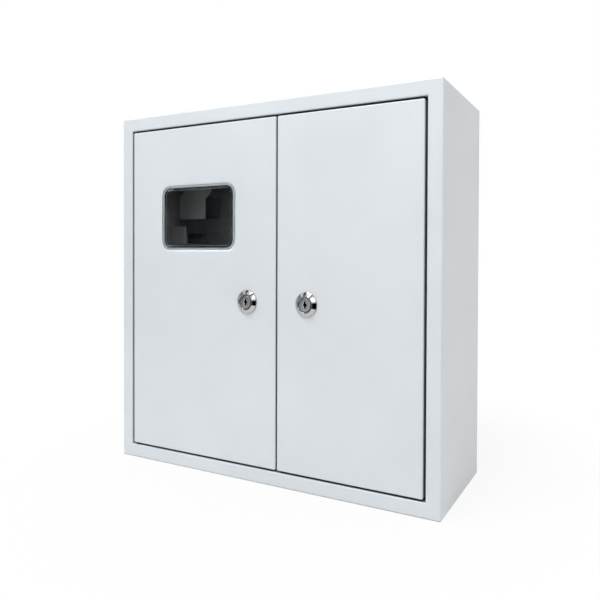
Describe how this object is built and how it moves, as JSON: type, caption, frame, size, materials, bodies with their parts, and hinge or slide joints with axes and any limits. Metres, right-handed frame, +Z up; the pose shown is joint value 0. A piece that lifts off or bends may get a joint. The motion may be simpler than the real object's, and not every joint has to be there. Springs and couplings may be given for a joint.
{
  "type": "electrical enclosure",
  "caption": "Wall-mounted steel enclosure for an electricity meter and breakers, with two inset doors, a clear window, cam locks, mounting rails and terminal bars.",
  "frame": {"origin": "centre of the four wall holes, on the rear face", "axes": "+Y to the rear, into the wall; +Z up; +X to the right of someone facing the doors"},
  "size_m": [0.48, 0.154, 0.48],
  "materials": {
    "cabinet_paint": "fine-textured light grey powder coat",
    "galvanised_sheet": "galvanised, matt",
    "zinc_plated_steel": "bright zinc plated",
    "polished_chrome": "polished",
    "satin_nickel": "satin nickel plated",
    "clear_polycarbonate": "clear, glossy",
    "blackened_steel": "black oxide, oiled",
    "nylon": "black, matt",
    "black_rubber": "matt",
    "brass": "drawn",
    "blue_insulator": "moulded",
    "green_insulator": "moulded"
  },
  "bodies": {
    "cabinet": {"back_panel": "cabinet_paint", "cabinet_shell": "cabinet_paint", "cover_pillars": "zinc_plated_steel", "cover_screws": "zinc_plated_steel", "door_buffers": "black_rubber", "earth_bar": "brass", "earth_bar_insulators": "green_insulator", "earth_bar_screws": "zinc_plated_steel", "earth_stud": "zinc_plated_steel", "earth_stud_nut": "zinc_plated_steel", "left_bay_spacers": "zinc_plated_steel", "left_hinge_pins": "blackened_steel", "lower_rail": "galvanised_sheet", "main_rail": "galvanised_sheet", "meter_plate": "galvanised_sheet", "meter_plate_screws": "zinc_plated_steel", "meter_supports": "galvanised_sheet", "middle_rail": "galvanised_sheet", "module_cover": "cabinet_paint", "mullion": "cabinet_paint", "neutral_bar": "brass", "neutral_bar_insulators": "blue_insulator", "neutral_bar_screws": "zinc_plated_steel", "partition": "cabinet_paint", "plate_brackets": "galvanised_sheet", "rail_screws": "zinc_plated_steel", "rail_uprights": "galvanised_sheet", "right_hinge_pins": "blackened_steel", "upper_rail": "galvanised_sheet"},
    "left_leaf": {"left_door": "cabinet_paint", "left_hinge_bushes": "nylon", "left_hinge_brackets": "cabinet_paint", "left_lock_ring": "polished_chrome", "left_lock_body": "satin_nickel", "left_lock_nut": "zinc_plated_steel", "left_door_stud": "zinc_plated_steel", "left_door_stud_nut": "zinc_plated_steel", "window_insert": "clear_polycarbonate"},
    "right_leaf": {"right_door": "cabinet_paint", "right_hinge_bushes": "nylon", "right_hinge_brackets": "cabinet_paint", "right_lock_ring": "polished_chrome", "right_lock_body": "satin_nickel", "right_lock_nut": "zinc_plated_steel", "right_door_stud": "zinc_plated_steel", "right_door_stud_nut": "zinc_plated_steel"},
    "left_lock": {"left_lock_plug": "satin_nickel", "left_lock_cam": "zinc_plated_steel", "left_lock_screw": "zinc_plated_steel"},
    "right_lock": {"right_lock_plug": "satin_nickel", "right_lock_cam": "zinc_plated_steel", "right_lock_screw": "zinc_plated_steel"}
  },
  "joints": [
    {"name": "left_door_hinge", "type": "hinge", "parent": "cabinet", "child": "left_leaf", "pos_m": [-0.2135, -0.145, 0], "axis": [0, 0, -1], "range_deg": [0, 120]},
    {"name": "right_door_hinge", "type": "hinge", "parent": "cabinet", "child": "right_leaf", "pos_m": [0.2135, -0.145, 0], "axis": [0, 0, 1], "range_deg": [0, 120]},
    {"name": "left_lock_turn", "type": "hinge", "parent": "left_leaf", "child": "left_lock", "pos_m": [-0.0197, -0.15, -0.0115], "axis": [0, -1, 0], "range_deg": [0, 90]},
    {"name": "right_lock_turn", "type": "hinge", "parent": "right_leaf", "child": "right_lock", "pos_m": [0.0686, -0.15, -0.0115], "axis": [0, -1, 0], "range_deg": [-90, 0]}
  ]
}
